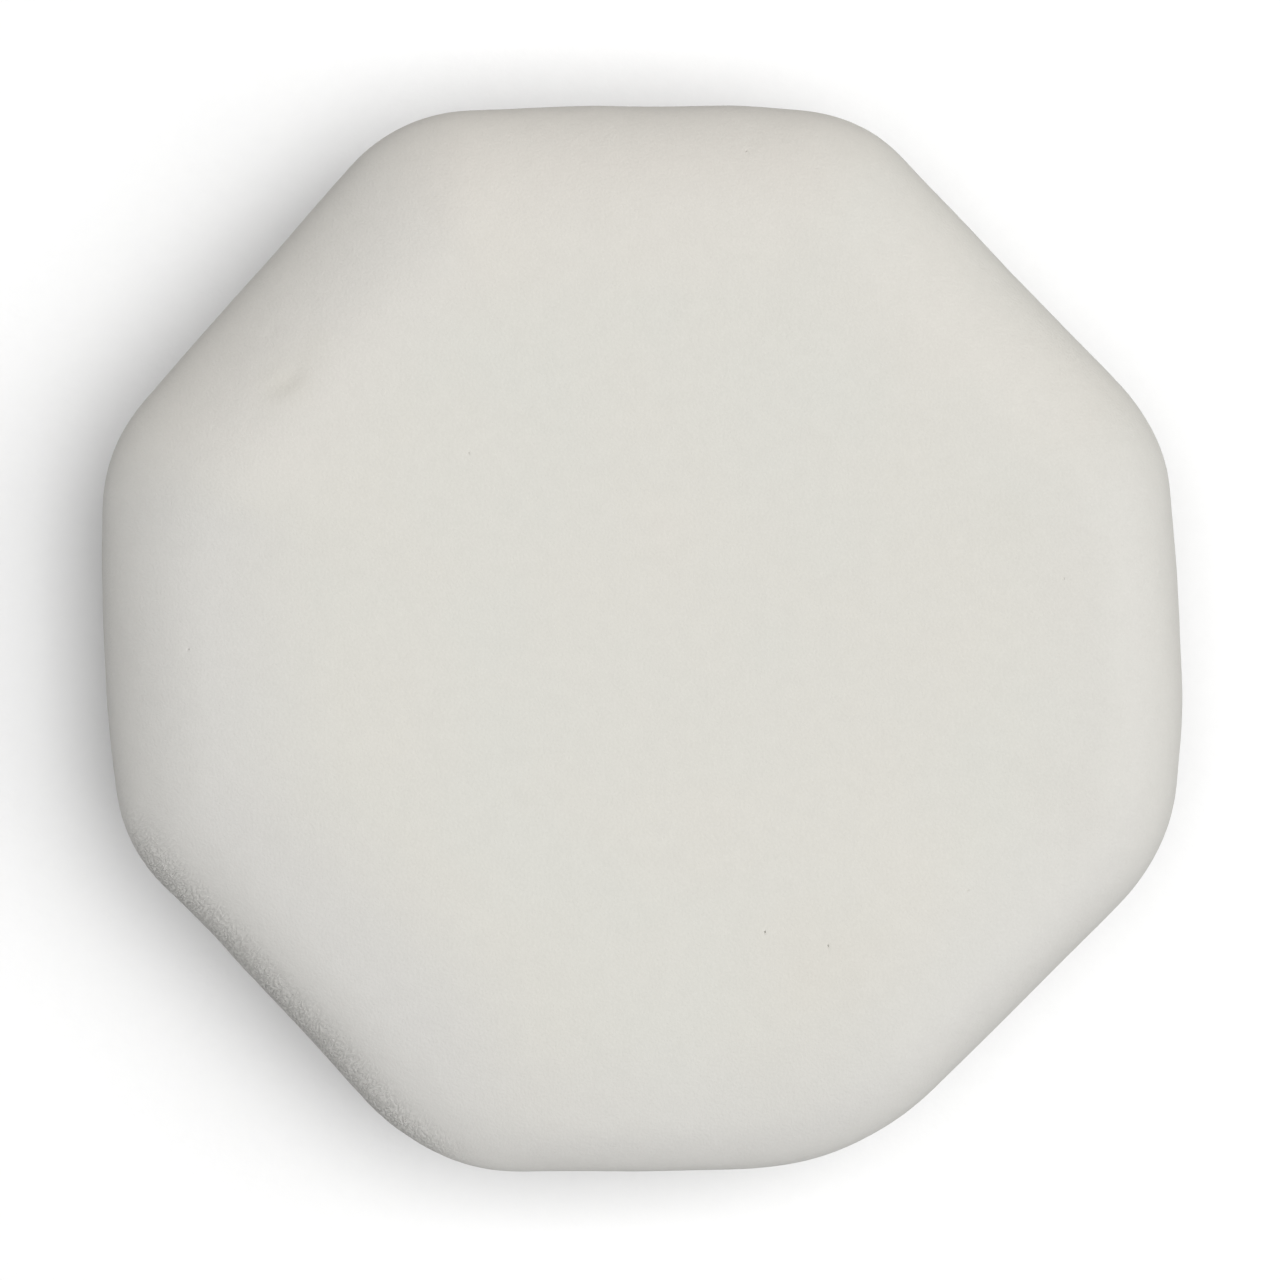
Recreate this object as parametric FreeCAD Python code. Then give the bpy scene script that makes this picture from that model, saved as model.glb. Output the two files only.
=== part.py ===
"""An octagonal nail buffer block: a cushioned hand block for smoothing and shining nails.

The block is a laminate.  Two foam layers, glued together at mid-thickness, make a soft cushion.
A facing is bonded over each flat face and down its rounded shoulder: an adhesive film next to the
foam, then a stretch backing cloth, then the coat of fine grit that does the work.  Between the two
facings the raw foam shows as a belt round the eight sides, with the glue line in its middle.

Frame: millimetres, +Z up.  The block lies on its back face.  The origin is the centre of that face,
+X runs across the wider pair of sides and +Z points out of the front working face.
"""

import FreeCAD, Part
import os

# Overall size
THICKNESS = 20.0  # back face to front face
SHOULDER = 6.0  # radius between a face and the sides

# Plan outline.  The block is cut and rounded by hand, so no two corners or sides are quite alike.
# Each row is the pointed corner before rounding (x, y), its radius, and the bow of the side that
# runs anticlockwise from it to the next corner: above 0 swells outwards, below 0 is hollow.
CORNERS = (
    (28.8, 11.8, 9.5, -0.2),
    (12.3, 29.2, 8.5, 0.4),
    (-13.5, 29.1, 9.0, 0.0),
    (-29.8, 10.7, 9.5, 0.55),
    (-28.7, -11.7, 9.0, -0.3),
    (-11.7, -29.7, 11.5, -0.1),
    (11.4, -29.5, 16.5, 0.15),
    (29.3, -11.9, 10.5, 0.85),
)

# Layers of each facing, from the outside in
GRIT_COAT = 0.20
BACKING_CLOTH = 0.35
ADHESIVE_FILM = 0.15

# Where the facings end on the sides, and how the cushion between them is divided
FACING_DEPTH = 7.0  # from a face down to its facing's trimmed edge
CENTRE_FILM = 0.20  # glue film between the two foam layers
FIRM_FOAM = 9.2  # back foam layer, from the back facing's adhesive to the centre film

CLEAR = 10.0  # how far a cutting slab stands outside the block
FLAT = 0.001  # an edge that rises less than this lies level


def bowed_side(start, end, bow):
    """The edge from one pointed corner to the next: a straight line, or a shallow arc."""
    if bow == 0:
        return Part.LineSegment(start, end).toShape()
    along = end - start
    outward = FreeCAD.Vector(along.y, -along.x, 0).normalize()
    return Part.Arc(start, (start + end) * 0.5 + outward * bow, end).toShape()


def nearest_point(edge, place):
    """The point of an edge that is nearest to a place."""
    return edge.distToShape(Part.Vertex(place))[1][0][0]


def trimmed_side(side, start, end):
    """The stretch of a bowed side between two points on it."""
    if isinstance(side.Curve, Part.Line):
        return Part.LineSegment(start, end).toShape()
    crest = side.valueAt((side.FirstParameter + side.LastParameter) / 2)
    return Part.Arc(start, crest, end).toShape()


def plan_outline():
    """The plan outline as a face: eight bowed sides joined by corner arcs tangent to them."""
    corners = [FreeCAD.Vector(x, y, 0) for x, y, _, _ in CORNERS]
    ends = corners[1:] + corners[:1]
    sides = [bowed_side(a, b, row[3]) for a, b, row in zip(corners, ends, CORNERS)]
    pointed = Part.Face(Part.Wire(sides))
    arcs = []
    for i, (corner, row) in enumerate(zip(corners, CORNERS)):
        radius = row[2]
        # the outline shrunk by the radius has its own corner at the centre of the rounding
        shrunk = pointed.makeOffset2D(-radius)
        centre = min((v.Point for v in shrunk.Vertexes), key=corner.distanceToPoint)
        crest = centre + (corner - centre).normalize() * radius
        arcs.append(Part.Arc(nearest_point(sides[i - 1], centre), crest, nearest_point(sides[i], centre)))
    edges = []
    for i, side in enumerate(sides):
        edges.append(arcs[i].toShape())
        edges.append(trimmed_side(side, arcs[i].EndPoint, arcs[(i + 1) % len(arcs)].StartPoint))
    outline = Part.Face(Part.Wire(edges))
    middle = outline.optimalBoundingBox().Center
    return outline.translated(FreeCAD.Vector(-middle.x, -middle.y, 0))


def block(outline, inset):
    """What lies under a facing of the given thickness: the whole block, smaller by it all round."""
    plan = outline.makeOffset2D(-inset) if inset else outline
    plan = plan.translated(FreeCAD.Vector(0, 0, inset))
    prism = plan.extrude(FreeCAD.Vector(0, 0, THICKNESS - 2 * inset))
    rims = [edge for edge in prism.Edges if edge.BoundBox.ZLength < FLAT]
    return prism.makeFillet(SHOULDER - inset, rims)


def slab(bottom, top):
    """A box wider than the block, between two heights."""
    half = 4 * CLEAR
    corner = FreeCAD.Vector(-half, -half, bottom)
    return Part.makeBox(2 * half, 2 * half, top - bottom, corner)


def facing_layer(outline, inset, thickness, zone):
    """One layer of a facing: the skin between two insets, kept only in that facing's zone."""
    skin = block(outline, inset).cut(block(outline, inset + thickness))
    return skin.common(zone)


def facing(outline, side):
    """The three layers of the facing on one side, named for that side."""
    if side == "front":
        zone = slab(THICKNESS - FACING_DEPTH, THICKNESS + CLEAR)
    else:
        zone = slab(-CLEAR, FACING_DEPTH)
    return {
        f"{side}_grit_coat": facing_layer(outline, 0, GRIT_COAT, zone),
        f"{side}_backing_cloth": facing_layer(outline, GRIT_COAT, BACKING_CLOTH, zone),
        f"{side}_adhesive_film": facing_layer(outline, GRIT_COAT + BACKING_CLOTH, ADHESIVE_FILM, zone),
    }


def cushion(outline):
    """The two foam layers and the film of glue that joins them."""
    facing_thickness = GRIT_COAT + BACKING_CLOTH + ADHESIVE_FILM
    core = block(outline, facing_thickness)
    glue_bottom = facing_thickness + FIRM_FOAM
    glue_top = glue_bottom + CENTRE_FILM
    return {
        "back_firm_foam": core.common(slab(-CLEAR, glue_bottom)),
        "centre_glue_film": core.common(slab(glue_bottom, glue_top)),
        "front_soft_foam": core.common(slab(glue_top, THICKNESS + CLEAR)),
    }


def main():
    os.makedirs("parts", exist_ok=True)
    outline = plan_outline()
    nodes = {**cushion(outline), **facing(outline, "front"), **facing(outline, "back")}
    for name, shape in nodes.items():
        if not shape.isValid() or len(shape.Solids) != 1:
            raise ValueError(f"{name} is not one valid solid")
        shape.Solids[0].exportStep(f"parts/{name}.step")
        box = shape.optimalBoundingBox()
        print(f"{name}: {shape.Volume:.1f} mm3, {box.XLength:.2f} x {box.YLength:.2f} x {box.ZLength:.2f} mm")


main()
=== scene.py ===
# %% [markdown]
# # An octagonal nail buffer block
#
# This lesson builds the looks of a small hand block for smoothing nails: a soft foam cushion,
# faced on both sides with very fine grit on a stretch cloth. It is about 60 mm across and 20 mm
# thick. The design model gives the exact outline, the thickness and the place of every layer.
# Here each of its nine layers gets a mesh of its own, with the unevenness that comes from
# cutting and grinding by hand, and a material of its own.
#
# Everything is in metres, with +Z up, and the block lies on its back face at z = 0.

# %% Load the design model
import math

import bmesh
import bpy
import numpy as np
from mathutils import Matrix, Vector, noise
from mathutils.bvhtree import BVHTree


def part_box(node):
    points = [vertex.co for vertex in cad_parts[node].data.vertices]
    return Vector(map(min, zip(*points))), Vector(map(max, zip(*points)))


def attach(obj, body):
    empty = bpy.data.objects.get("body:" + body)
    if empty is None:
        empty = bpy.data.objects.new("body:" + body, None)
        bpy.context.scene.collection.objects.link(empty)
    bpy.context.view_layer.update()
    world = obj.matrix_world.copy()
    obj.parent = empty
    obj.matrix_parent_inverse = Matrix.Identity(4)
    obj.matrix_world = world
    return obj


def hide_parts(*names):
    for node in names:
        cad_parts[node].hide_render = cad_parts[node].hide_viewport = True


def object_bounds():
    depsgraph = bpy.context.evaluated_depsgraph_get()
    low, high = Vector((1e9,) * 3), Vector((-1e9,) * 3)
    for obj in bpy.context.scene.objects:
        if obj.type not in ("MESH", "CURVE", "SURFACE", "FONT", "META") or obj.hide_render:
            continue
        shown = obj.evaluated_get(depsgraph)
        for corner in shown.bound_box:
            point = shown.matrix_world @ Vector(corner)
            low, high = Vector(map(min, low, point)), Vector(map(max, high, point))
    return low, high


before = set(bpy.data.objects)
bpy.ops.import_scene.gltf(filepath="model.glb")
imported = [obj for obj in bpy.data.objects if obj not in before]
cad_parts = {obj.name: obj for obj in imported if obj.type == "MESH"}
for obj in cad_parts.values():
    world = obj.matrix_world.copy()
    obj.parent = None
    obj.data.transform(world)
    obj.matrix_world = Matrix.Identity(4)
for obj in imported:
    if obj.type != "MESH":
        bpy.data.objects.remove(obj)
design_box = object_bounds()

MM = 0.001
thickness = design_box[1].z - design_box[0].z
print("layers in the design:", ", ".join(sorted(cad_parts)))
print("block, mm:", [round((hi - lo) / MM, 2) for lo, hi in zip(*design_box)])

# %% [markdown]
# ## The camera
#
# A flat pad is judged by its outline, so the camera looks straight down on the front face, with
# +Y at the top of the view. A long lens far away keeps the near face and the widest part of the
# sides at almost the same scale. An orthographic camera would make the two scales equal, but no
# real lens does that, and the block would look a little too flat.

# %% Camera straight above the front face
LENS = 150.0  # mm, on a 36 mm sensor
VIEW_WIDTH = 71.16 * MM  # what the camera takes in at the block's widest level
WIDEST_LEVEL = 13.5 * MM  # height at which the sides reach their full width
AIM = Vector((-0.05 * MM, -0.07 * MM, 0.0))  # the block isn't quite in the middle
CLIP_NEAR, CLIP_FAR = 0.1, 100  # times the distance to the block

camera_data = bpy.data.cameras.new("camera")
camera_data.lens = LENS
distance = VIEW_WIDTH * LENS / camera_data.sensor_width
camera = bpy.data.objects.new("camera", camera_data)
camera.location = AIM + Vector((0, 0, WIDEST_LEVEL + distance))
camera_data.clip_start = CLIP_NEAR * distance
camera_data.clip_end = CLIP_FAR * distance
bpy.context.scene.collection.objects.link(camera)
bpy.context.scene.camera = camera
print(f"camera {distance / MM:.0f} mm above the block's widest level")

# %% [markdown]
# ## The outline
#
# Eight sides, some swollen and some slightly hollow, meet in rounded corners, and no two are
# alike. The outline could be drawn again from its corners and radii, but the design model holds
# it already, and a measured outline is sure to fit. Rays are cast inwards at the level of the
# upright side wall, all the way round. A light smoothing of the hits takes out the tiny flats of
# the imported mesh, and the points are then spaced evenly along the outline.

# %% Measure the outline on the design model
OUTLINE_POINTS = 4096
OUTLINE_REACH = 10  # how many points each way the smoothing of the outline takes in
ABOVE_HEM = 0.3 * MM  # how far above the front hem the wall is measured


def smooth_round(values, reach):
    """Values all the way round, each averaged with its neighbours within reach, bell-weighted."""
    offsets = np.arange(-reach, reach + 1)
    weights = np.cos(offsets / (reach + 1) * math.pi / 2) ** 2
    weights /= weights.sum()
    return sum(w * np.roll(values, -k, axis=0) for k, w in zip(offsets, weights))


def measure_outline(node, level):
    """Evenly spaced points of a design node's outer wall at one level, from +X, and its girth."""
    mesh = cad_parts[node].data
    tree = BVHTree.FromPolygons(
        [v.co for v in mesh.vertices], [p.vertices for p in mesh.polygons]
    )
    far = 2 * max(design_box[1].x, design_box[1].y)
    hits = []
    for angle in np.linspace(0, 2 * math.pi, OUTLINE_POINTS, endpoint=False):
        out = Vector((math.cos(angle), math.sin(angle), 0))
        hit = tree.ray_cast(out * far + Vector((0, 0, level)), -out)[0]
        hits.append((hit.x, hit.y))
    points = smooth_round(np.array(hits), OUTLINE_REACH)
    steps = np.linalg.norm(np.roll(points, -1, axis=0) - points, axis=1)
    along = np.concatenate([[0], np.cumsum(steps)])
    even = np.linspace(0, along[-1], OUTLINE_POINTS, endpoint=False)
    closed = np.vstack([points, points[:1]])
    spaced = np.stack([np.interp(even, along, closed[:, i]) for i in (0, 1)], axis=1)
    return spaced, along[-1]


front_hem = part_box("front_grit_coat")[0].z
back_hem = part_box("back_grit_coat")[1].z
HEMS = {"front": thickness - front_hem, "back": back_hem}  # from each face down to its hem
outline, girth = measure_outline("front_grit_coat", front_hem + ABOVE_HEM)
print(f"girth {girth / MM:.1f} mm, hems at {back_hem / MM:.1f} and {front_hem / MM:.1f} mm")

# %% [markdown]
# A blade led round by hand wanders by less than a tenth of a millimetre. The design leaves these
# slips out, since they matter to the eye and not to the fit. Noise would make slips anywhere,
# while a row for each puts it in its place. The deepest is a small hollow at the upper end of the
# lower left side.

# %% Slips of the blade
# how far round the middle of each slip is (0 to 1), and how far it stands out in mm
SLIPS = (
    (0.050, 0.05),
    (0.198, -0.06),
    (0.225, 0.05),
    (0.281, -0.06),
    (0.345, 0.03),
    (0.495, 0.03),
    (0.531, 0.05),
    (0.594, -0.09),
    (0.698, 0.05),
    (0.802, 0.05),
    (0.930, -0.03),
    (0.980, 0.05),
)
SLIP_WIDTH = 0.022  # of the way round


def bell(distance, width):
    """1 in the middle, falling smoothly to 0 at a distance of one width and beyond."""
    return np.cos(np.clip(distance / width, 0, 1) * math.pi / 2) ** 2


round_share = np.arange(OUTLINE_POINTS) / OUTLINE_POINTS
slip = sum(
    stand * MM * bell(np.abs((round_share - middle + 0.5) % 1.0 - 0.5), SLIP_WIDTH)
    for middle, stand in SLIPS
)
print(f"slips from {slip.min() / MM:.2f} to {slip.max() / MM:.2f} mm")

# %% Move the outline by its slips
DIRECTION_REACH = 20  # how many points each way the smoothing of directions takes in


def outward_from(points):
    """Unit directions straight out of the outline."""
    steps = np.roll(points, -1, axis=0) - np.roll(points, 1, axis=0)
    along = smooth_round(steps, DIRECTION_REACH)
    along /= np.linalg.norm(along, axis=1)[:, None]
    return np.stack([along[:, 1], -along[:, 0]], axis=1)


outline = outline + outward_from(outline) * slip[:, None]
outward = outward_from(outline)
facing_angle = np.degrees(np.arctan2(outward[:, 1], outward[:, 0])) % 360
print("directions of the outline at every eighth of it:", facing_angle[::512].round().tolist())

# %% [markdown]
# ## The shoulders
#
# The edges between the faces and the sides were rounded on a belt, a side at a time, so each side
# has its own shoulder: on some the rounding reaches far into the face, on others it is tight.
# A Bevel modifier would give them all one profile, so they are worked out from a table instead.
# A row per side gives the direction it faces, how far its rounding reaches into the face, how far
# it comes down the side, its fullness, and how much lower the face is 24 mm out than in its
# middle. A fullness of 2 is an ellipse, below 2 is nearer to a flat bevel, and above 2 is squarer.
# Between two sides the values blend as the corner turns, and the loop along which the rounding
# begins is smoothed, so that no crease runs in from a corner.

# %% How each side is rounded
# direction in degrees, reach in mm, drop in mm, fullness, fall of the face in mm
SHOULDERS = (
    (2.0, 5.2, 6.0, 2.2, 0.15),
    (43.5, 7.2, 6.0, 2.0, 0.25),
    (90.0, 8.0, 6.0, 2.05, 0.40),
    (138.5, 8.0, 6.2, 1.9, 0.50),
    (183.5, 6.3, 6.2, 2.25, 1.05),
    (223.5, 4.7, 6.2, 2.5, 1.40),
    (270.5, 3.4, 6.0, 2.6, 1.45),
    (314.5, 4.1, 6.0, 2.3, 0.70),
)
SHOULDER_UNITS = (MM, MM, 1.0, MM)  # of reach, drop, fullness and fall
BACK_TURN = 3  # the back has the same shoulders, this many sides further round
BLEND_REACH = 60  # how many outline points each way the blend between two sides takes in
LOOP_REACH = 150  # the same for the loop along which the rounding begins
directions, *shoulder_columns = np.array(SHOULDERS).T
print(len(directions), "sides, facing", directions.tolist(), "degrees")


# %% Blend the shoulders round the block
def round_the_block(values, side):
    """One value per side of the octagon, blended by direction at every outline point."""
    if side == "back":
        values = np.roll(values, BACK_TURN)
    turned = np.concatenate([directions - 360, directions, directions + 360])
    return smooth_round(np.interp(facing_angle, turned, np.tile(values, 3)), BLEND_REACH)


SHOULDER_SETS = {
    side: [round_the_block(v, side) * unit for v, unit in zip(shoulder_columns, SHOULDER_UNITS)]
    for side in ("front", "back")
}
INNER_LOOPS = {
    side: smooth_round(outline - outward * reach[:, None], LOOP_REACH)
    for side, (reach, *_) in SHOULDER_SETS.items()
}
print("front shoulder reach, mm:", (SHOULDER_SETS["front"][0][::512] / MM).round(1).tolist())

# %% [markdown]
# ## One surface for every layer
#
# All layers lie one under another, so one function describes them all. It takes how far round a
# point is (0 to 1), how far out it is (0 in the middle of the face, 1 at the hem on the side), and
# how deep it lies under the outer skin. Making each layer from its own separate shape would risk
# gaps and layers cutting through one another.
#
# From the hem the surface goes straight up the side, over the shoulder, and across the face to the
# middle. The face is slightly domed, as a pad that was ground by hand is.

# %% The surface function
DOME_POWER = 4.5  # the face falls away slowly in the middle and faster towards its shoulders
DOME_REACH = 24 * MM  # how far from the middle it has fallen by the amount in SHOULDERS
FACE_SHARE = 0.66  # shares of the way from the middle of the face to the hem
SHOULDER_SHARE = 0.29


def ramp(value, start, width):
    """0 up to a start, then rising evenly to 1 over a width."""
    return np.clip((value - start) / width, 0, 1)


def at(values, turn):
    """Values kept round the outline, read at turns from 0 to 1."""
    place = (np.asarray(turn) % 1.0) * OUTLINE_POINTS
    low = place.astype(int) % OUTLINE_POINTS
    mix = place - place.astype(int)
    if values.ndim > 1:
        mix = mix[:, None]
    return values[low] * (1 - mix) + values[(low + 1) % OUTLINE_POINTS] * mix


print("the outline a quarter of the way round, mm:", (at(outline, [0.25]) / MM).round(1).tolist())


# %% Points of the skin
def skin_points(side, turn, out, depth, hem):
    """Points at a depth under the skin of one side, up to a hem height measured from its face."""
    reach, drop, fullness, dome = (at(v, turn) for v in SHOULDER_SETS[side])
    drop = drop - depth
    # across the face: straight out from the middle to where the shoulder begins
    inner = at(INNER_LOOPS[side], turn)
    share = ramp(out, 0, FACE_SHARE)
    # over the shoulder: a superellipse between the face and the upright side
    span = at(outline, turn) - at(outward, turn) * depth - inner
    sweep = ramp(out, FACE_SHARE, SHOULDER_SHARE) * math.pi / 2
    across = np.sin(sweep) ** (2 / fullness)
    down = drop * (1 - np.maximum(np.cos(sweep), 0) ** (2 / fullness))
    # down the side to the hem
    wall = ramp(out, FACE_SHARE + SHOULDER_SHARE, 1 - FACE_SHARE - SHOULDER_SHARE)
    plan = inner * share[:, None] + span * across[:, None]
    fall = dome * (np.linalg.norm(plan, axis=1) / DOME_REACH) ** DOME_POWER * (1 - down / drop)
    z = down + fall + (hem - depth - drop) * wall
    height = thickness - depth - z if side == "front" else depth + z
    return np.column_stack([plan, height])


places = np.array([0.0, FACE_SHARE, 1.0])
test = skin_points("front", np.zeros(3), places, 0.0, HEMS["front"])
print("middle, shoulder and hem on the +X side, mm:", (test / MM).round(2).tolist())

# %% [markdown]
# ## A disc of even squares
#
# A face made of rings and spokes has needle-thin triangles in its middle. Square rings, one inside
# another, have no such point: ring k has 8k corners, as on a sheet of squared paper, and each ring
# is laid on the surface as a loop round the block. A coat's skin is then all quads of about 0.2 mm.

# %% Square rings, laid round the block
def ring_turns(ring):
    """The turns of the corners of one square ring, which starts at +X."""
    return np.arange(8 * ring) / (8 * ring)


def square_ring_cells(ring):
    """Where each corner of a square ring is on squared paper, from the middle of the right side."""
    step = np.arange(8 * ring)
    leg = (step + ring) // (2 * ring) % 4
    along = (step + ring) % (2 * ring) - ring
    x = np.choose(leg, [ring, -along, -ring, along])
    y = np.choose(leg, [along, ring, -along, -ring])
    return x, y


def disc_size(rings):
    """How many corners a disc has."""
    return 4 * rings * (rings + 1) + 1


def disc(rings, place):
    """Square rings laid by place(turn, out): points, quads, outermost loop, turns and outs."""
    number = np.full((2 * rings + 1, 2 * rings + 1), -1)
    number[rings, rings] = 0
    turns, outs = [np.zeros(1)], [np.zeros(1)]
    count = 1
    for ring in range(1, rings + 1):
        x, y = square_ring_cells(ring)
        number[x + rings, y + rings] = count + np.arange(8 * ring)
        turns.append(ring_turns(ring))
        outs.append(np.full(8 * ring, ring / rings))
        count += 8 * ring
    quads = np.stack(
        [number[:-1, :-1], number[1:, :-1], number[1:, 1:], number[:-1, 1:]], axis=-1
    ).reshape(-1, 4)
    turn, out = np.concatenate(turns), np.concatenate(outs)
    loop = np.arange(count - 8 * rings, count)
    return place(turn, out), quads, loop, turn, out


squares = disc(2, lambda turn, out: np.column_stack([out, turn, turn]))
print("a disc of 2 rings has", disc_size(2), "corners and", len(squares[1]), "squares")

# %% [markdown]
# ## Values and noise for the points of a mesh
#
# Points are moved along their normals after a shell is closed, and values that a material reads
# are kept on them. Smooth random values come from Blender's own noise, the same on every run.

# %% Points, values and noise as arrays
def read(items, label, width=1):
    """One property of every point, normal or kept value of a mesh."""
    values = np.zeros(len(items) * width)
    items.foreach_get(label, values)
    return values.reshape(-1, width) if width > 1 else values


def kept(mesh, label):
    """A value kept for every point."""
    return read(mesh.attributes[label].data, "value")


def keep(mesh, label, values):
    """Keeps a value for every point."""
    layer = mesh.attributes.new(label, "FLOAT", "POINT")
    layer.data.foreach_set("value", np.asarray(values, np.float32))


def lumps(points, size, seed=0.0):
    """Smooth random values of about -1 to 1 at points, with lumps of about the given size."""
    shift = Vector((seed, 2 * seed, -seed))
    return np.array([noise.noise(Vector(p) / size + shift) for p in points])


print("noise at three places:", lumps(np.eye(3) * 5 * MM, 9 * MM).round(2).tolist())

# %% [markdown]
# ## Sewing the surfaces into closed shells
#
# Every layer is a closed solid, as the real one is: an outer skin, an inner skin, and an edge that
# joins them at the hem. A Solidify modifier would make the inner skin as fine as the outer one,
# but only the outer skin of the grit coats needs fine squares. Hidden skins are coarser, and where
# a fine loop meets a coarse one, each coarse edge takes in several fine ones. A small class keeps
# the points and faces of one shell while it grows.

# %% A shell that grows loop by loop
FINE_RINGS = 144
HIDDEN_RINGS = 48


class Shell:
    """Points and faces of one closed layer, with a turn and a place on the skin for each point."""

    def __init__(self):
        self.points, self.turns, self.outs = [], [], []
        self.faces = []
        self.count = 0

    def add_points(self, points, turn, out):
        """Adds points and returns their numbers."""
        self.points.append(points)
        self.turns.append(turn % 1.0)
        self.outs.append(np.broadcast_to(out, len(points)))
        self.count += len(points)
        return np.arange(self.count - len(points), self.count)

    def add_disc(self, rings, place):
        """Adds a disc of square rings and returns its outermost loop."""
        points, quads, loop, turn, out = disc(rings, place)
        first = self.add_points(points, turn, out)[0]
        self.faces.extend((quads + first).tolist())
        return loop + first

    def add_loop(self, previous, points, turn, out):
        """Adds a loop and joins it to the one before, which has as many points or a multiple."""
        loop = self.add_points(points, turn, out)
        self.join(previous, loop)
        return loop

    def join(self, one, other):
        """Joins two loops with faces: quads, or wider faces where one loop is coarser."""
        fine, coarse = (one, other) if len(one) >= len(other) else (other, one)
        ratio = len(fine) // len(coarse)
        for i in range(len(coarse)):
            run = [fine[(ratio * i + k) % len(fine)] for k in range(ratio + 1)]
            self.faces.append([int(n) for n in run + [coarse[(i + 1) % len(coarse)], coarse[i]]])

    def build(self, name):
        """The object, with outward normals, smooth shading, and its turn and place kept."""
        mesh = bpy.data.meshes.new(name)
        mesh.from_pydata(np.concatenate(self.points).tolist(), [], self.faces)
        edit = bmesh.new()
        edit.from_mesh(mesh)
        bmesh.ops.recalc_face_normals(edit, faces=edit.faces)
        edit.to_mesh(mesh)
        edit.free()
        mesh.shade_smooth()
        keep(mesh, "turn", np.concatenate(self.turns))
        keep(mesh, "out", np.concatenate(self.outs))
        piece = bpy.data.objects.new(name, mesh)
        bpy.context.scene.collection.objects.link(piece)
        print(f"{name}: {len(mesh.vertices)} points, {len(mesh.polygons)} faces")
        return piece


# %% [markdown]
# ## The grit coats
#
# A grit coat is a thin skin of resin and very fine grains. It is the surface that a finger feels,
# so it carries nearly all the detail: a slow unevenness left by the belt, a shallow crescent where
# the edge of the belt caught, a small nick, and a few open pinholes. The back coat is ground too,
# with marks of its own.
#
# The unevenness could be a Displace modifier, but its texture could not follow the shoulder round.
# Moving the points in code lets each mark have its own place and shape.

# %% The slow unevenness of grinding
WAVE = 0.05 * MM  # slow unevenness of the faces and shoulders
BROAD, BROAD_SHARE = 9 * MM, 0.6  # its broad lumps and its narrow ones
NARROW, NARROW_SHARE = 3.5 * MM, 0.25
ON_FACE = 0.35  # its share on the flat of a face
FACET_WAVE = 0.10 * MM  # the belt's own flats along the shoulders
FACET_SIZE = 6 * MM
SHOULDER_START, SHOULDER_RISE = 0.55, 0.25  # where on the skin the shoulders' unevenness comes in
UNROLLED = 30 * MM  # about how long the skin is from the middle of a face to its hem


def grinding(points, turn, out, seed):
    """How far each point of a ground skin stands proud of the smooth one."""
    shoulder = ramp(out, SHOULDER_START, SHOULDER_RISE)
    broad, narrow = lumps(points, BROAD, seed), lumps(points, NARROW, seed + 5)
    slow = broad * BROAD_SHARE + narrow * NARROW_SHARE
    # round the shoulder the unevenness is longer along the side than across it
    around = np.column_stack([at(outline, turn), out * UNROLLED])
    flats = lumps(around, FACET_SIZE, seed + 9)
    return WAVE * slow * (ON_FACE + (1 - ON_FACE) * shoulder) + FACET_WAVE * flats * shoulder


rise = grinding(test, np.zeros(3), places, 1.0)
print("ground on the +X side at the middle, shoulder and hem, mm:", (rise / MM).round(3).tolist())

# %% The nap and the single marks
FUZZ = 0.018 * MM  # short ground fibres on the lower left shoulder
FUZZ_SIZE = 0.30 * MM
FUZZ_DIRECTION, FUZZ_SPREAD = 226.0, 42.0  # degrees
FUZZ_START, FUZZ_RISE = 0.74, 0.13  # where on the skin it comes in
CRESCENT_BAND, CRESCENT_ARC = 0.8 * MM, 75  # half its width, and half its arc in degrees


def direction_at(turn):
    """The direction in degrees that the outline faces at each turn."""
    return np.degrees(np.arctan2(*at(outward, turn).T[::-1])) % 360


def degrees_apart(one, other):
    return np.abs((one - other + 180) % 360 - 180)


def fuzz_strength(turn, out):
    """How rough the ground fibres are: strongest low on the shoulder that faces FUZZ_DIRECTION."""
    side = bell(degrees_apart(direction_at(turn), FUZZ_DIRECTION), FUZZ_SPREAD)
    return side * ramp(out, FUZZ_START, FUZZ_RISE)


def crescent(points, centre, radius, opening, depth):
    """A shallow crescent dent: part of a ring round a centre, deepest in the middle of its arc."""
    away = points[:, :2] - centre
    ring = bell(np.abs(np.linalg.norm(away, axis=1) - radius), CRESCENT_BAND)
    angle = np.degrees(np.arctan2(away[:, 1], away[:, 0]))
    return -depth * ring * bell(degrees_apart(angle, opening), CRESCENT_ARC)


def dent(points, centre, width, depth):
    return -depth * bell(np.linalg.norm(points[:, :2] - centre, axis=1), width)


print("nap at the top and on the lower left:", fuzz_strength([0.25, 0.62], 1.0).round(2))

# %% [markdown]
# The design's own layer thicknesses give each skin its depths, less a gap of a hundredth of a
# millimetre that keeps neighbours from touching. A hem was cut by hand, so it wanders a little,
# a cloth frays there, and its edge is a small rounded lip.

# %% Build a skin between two depths
SEEDS = {"front": 1.0, "back": 21.0}
COAT_DEPTHS = (0.0, 0.19 * MM)
WANDER, WANDER_SIZE = 0.12 * MM, 11 * MM  # how far a coat's hem wanders, and over what length
FRAY_SIZE = 0.5 * MM
LIP = 0.3  # share of a skin's thickness that is rounded off at its hem


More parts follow.
